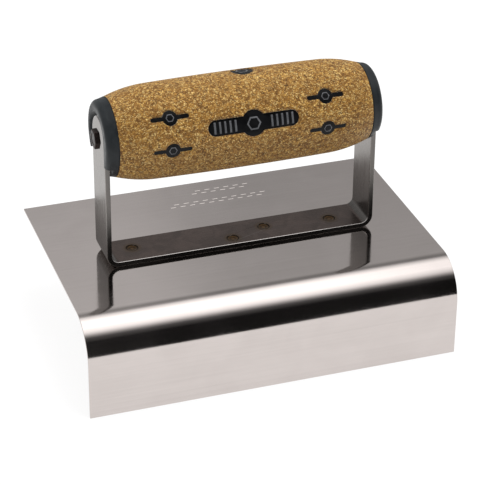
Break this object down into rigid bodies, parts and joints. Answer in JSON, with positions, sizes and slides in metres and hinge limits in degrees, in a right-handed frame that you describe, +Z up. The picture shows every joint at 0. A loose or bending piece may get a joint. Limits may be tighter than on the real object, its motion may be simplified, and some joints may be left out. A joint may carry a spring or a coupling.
{
  "type": "outside step tool",
  "caption": "Concrete outside step tool: polished steel blade with a large-radius turned-down lip, a strap bracket and a cork barrel handle between dark end caps.",
  "frame": {"origin": "on the sole, the blade's flat lower face, straight under the middle of the handle", "axes": "+X along the handle and the lip, +Y away from the lip towards the blade's back edge, +Z up from the sole towards the handle"},
  "size_m": [0.1524, 0.1016, 0.1116],
  "materials": {
    "polished_sheet": "mirror-polished stainless sheet",
    "satin_strap": "satin, grain across the strap",
    "weld_steel": "heat-tinted spot weld",
    "core_plastic": "moulded, hidden",
    "cork": "sealed granular cork",
    "inlay_black": "satin black",
    "cap_plastic": "dark blue-grey, slightly satin",
    "dark_screw": "black oxide"
  },
  "bodies": {
    "root": {"blade": "polished_sheet", "handle_bracket": "satin_strap", "spot_welds": "weld_steel", "handle_core": "core_plastic", "cork_grip": "cork", "top_inlay": "inlay_black", "front_badge": "inlay_black", "front_left_upper_button": "inlay_black", "front_left_lower_button": "inlay_black", "front_right_upper_button": "inlay_black", "front_right_lower_button": "inlay_black", "rear_badge": "inlay_black", "rear_left_upper_button": "inlay_black", "rear_left_lower_button": "inlay_black", "rear_right_upper_button": "inlay_black", "rear_right_lower_button": "inlay_black", "left_end_cap": "cap_plastic", "right_end_cap": "cap_plastic", "left_screw": "dark_screw", "right_screw": "dark_screw"}
  },
  "joints": []
}
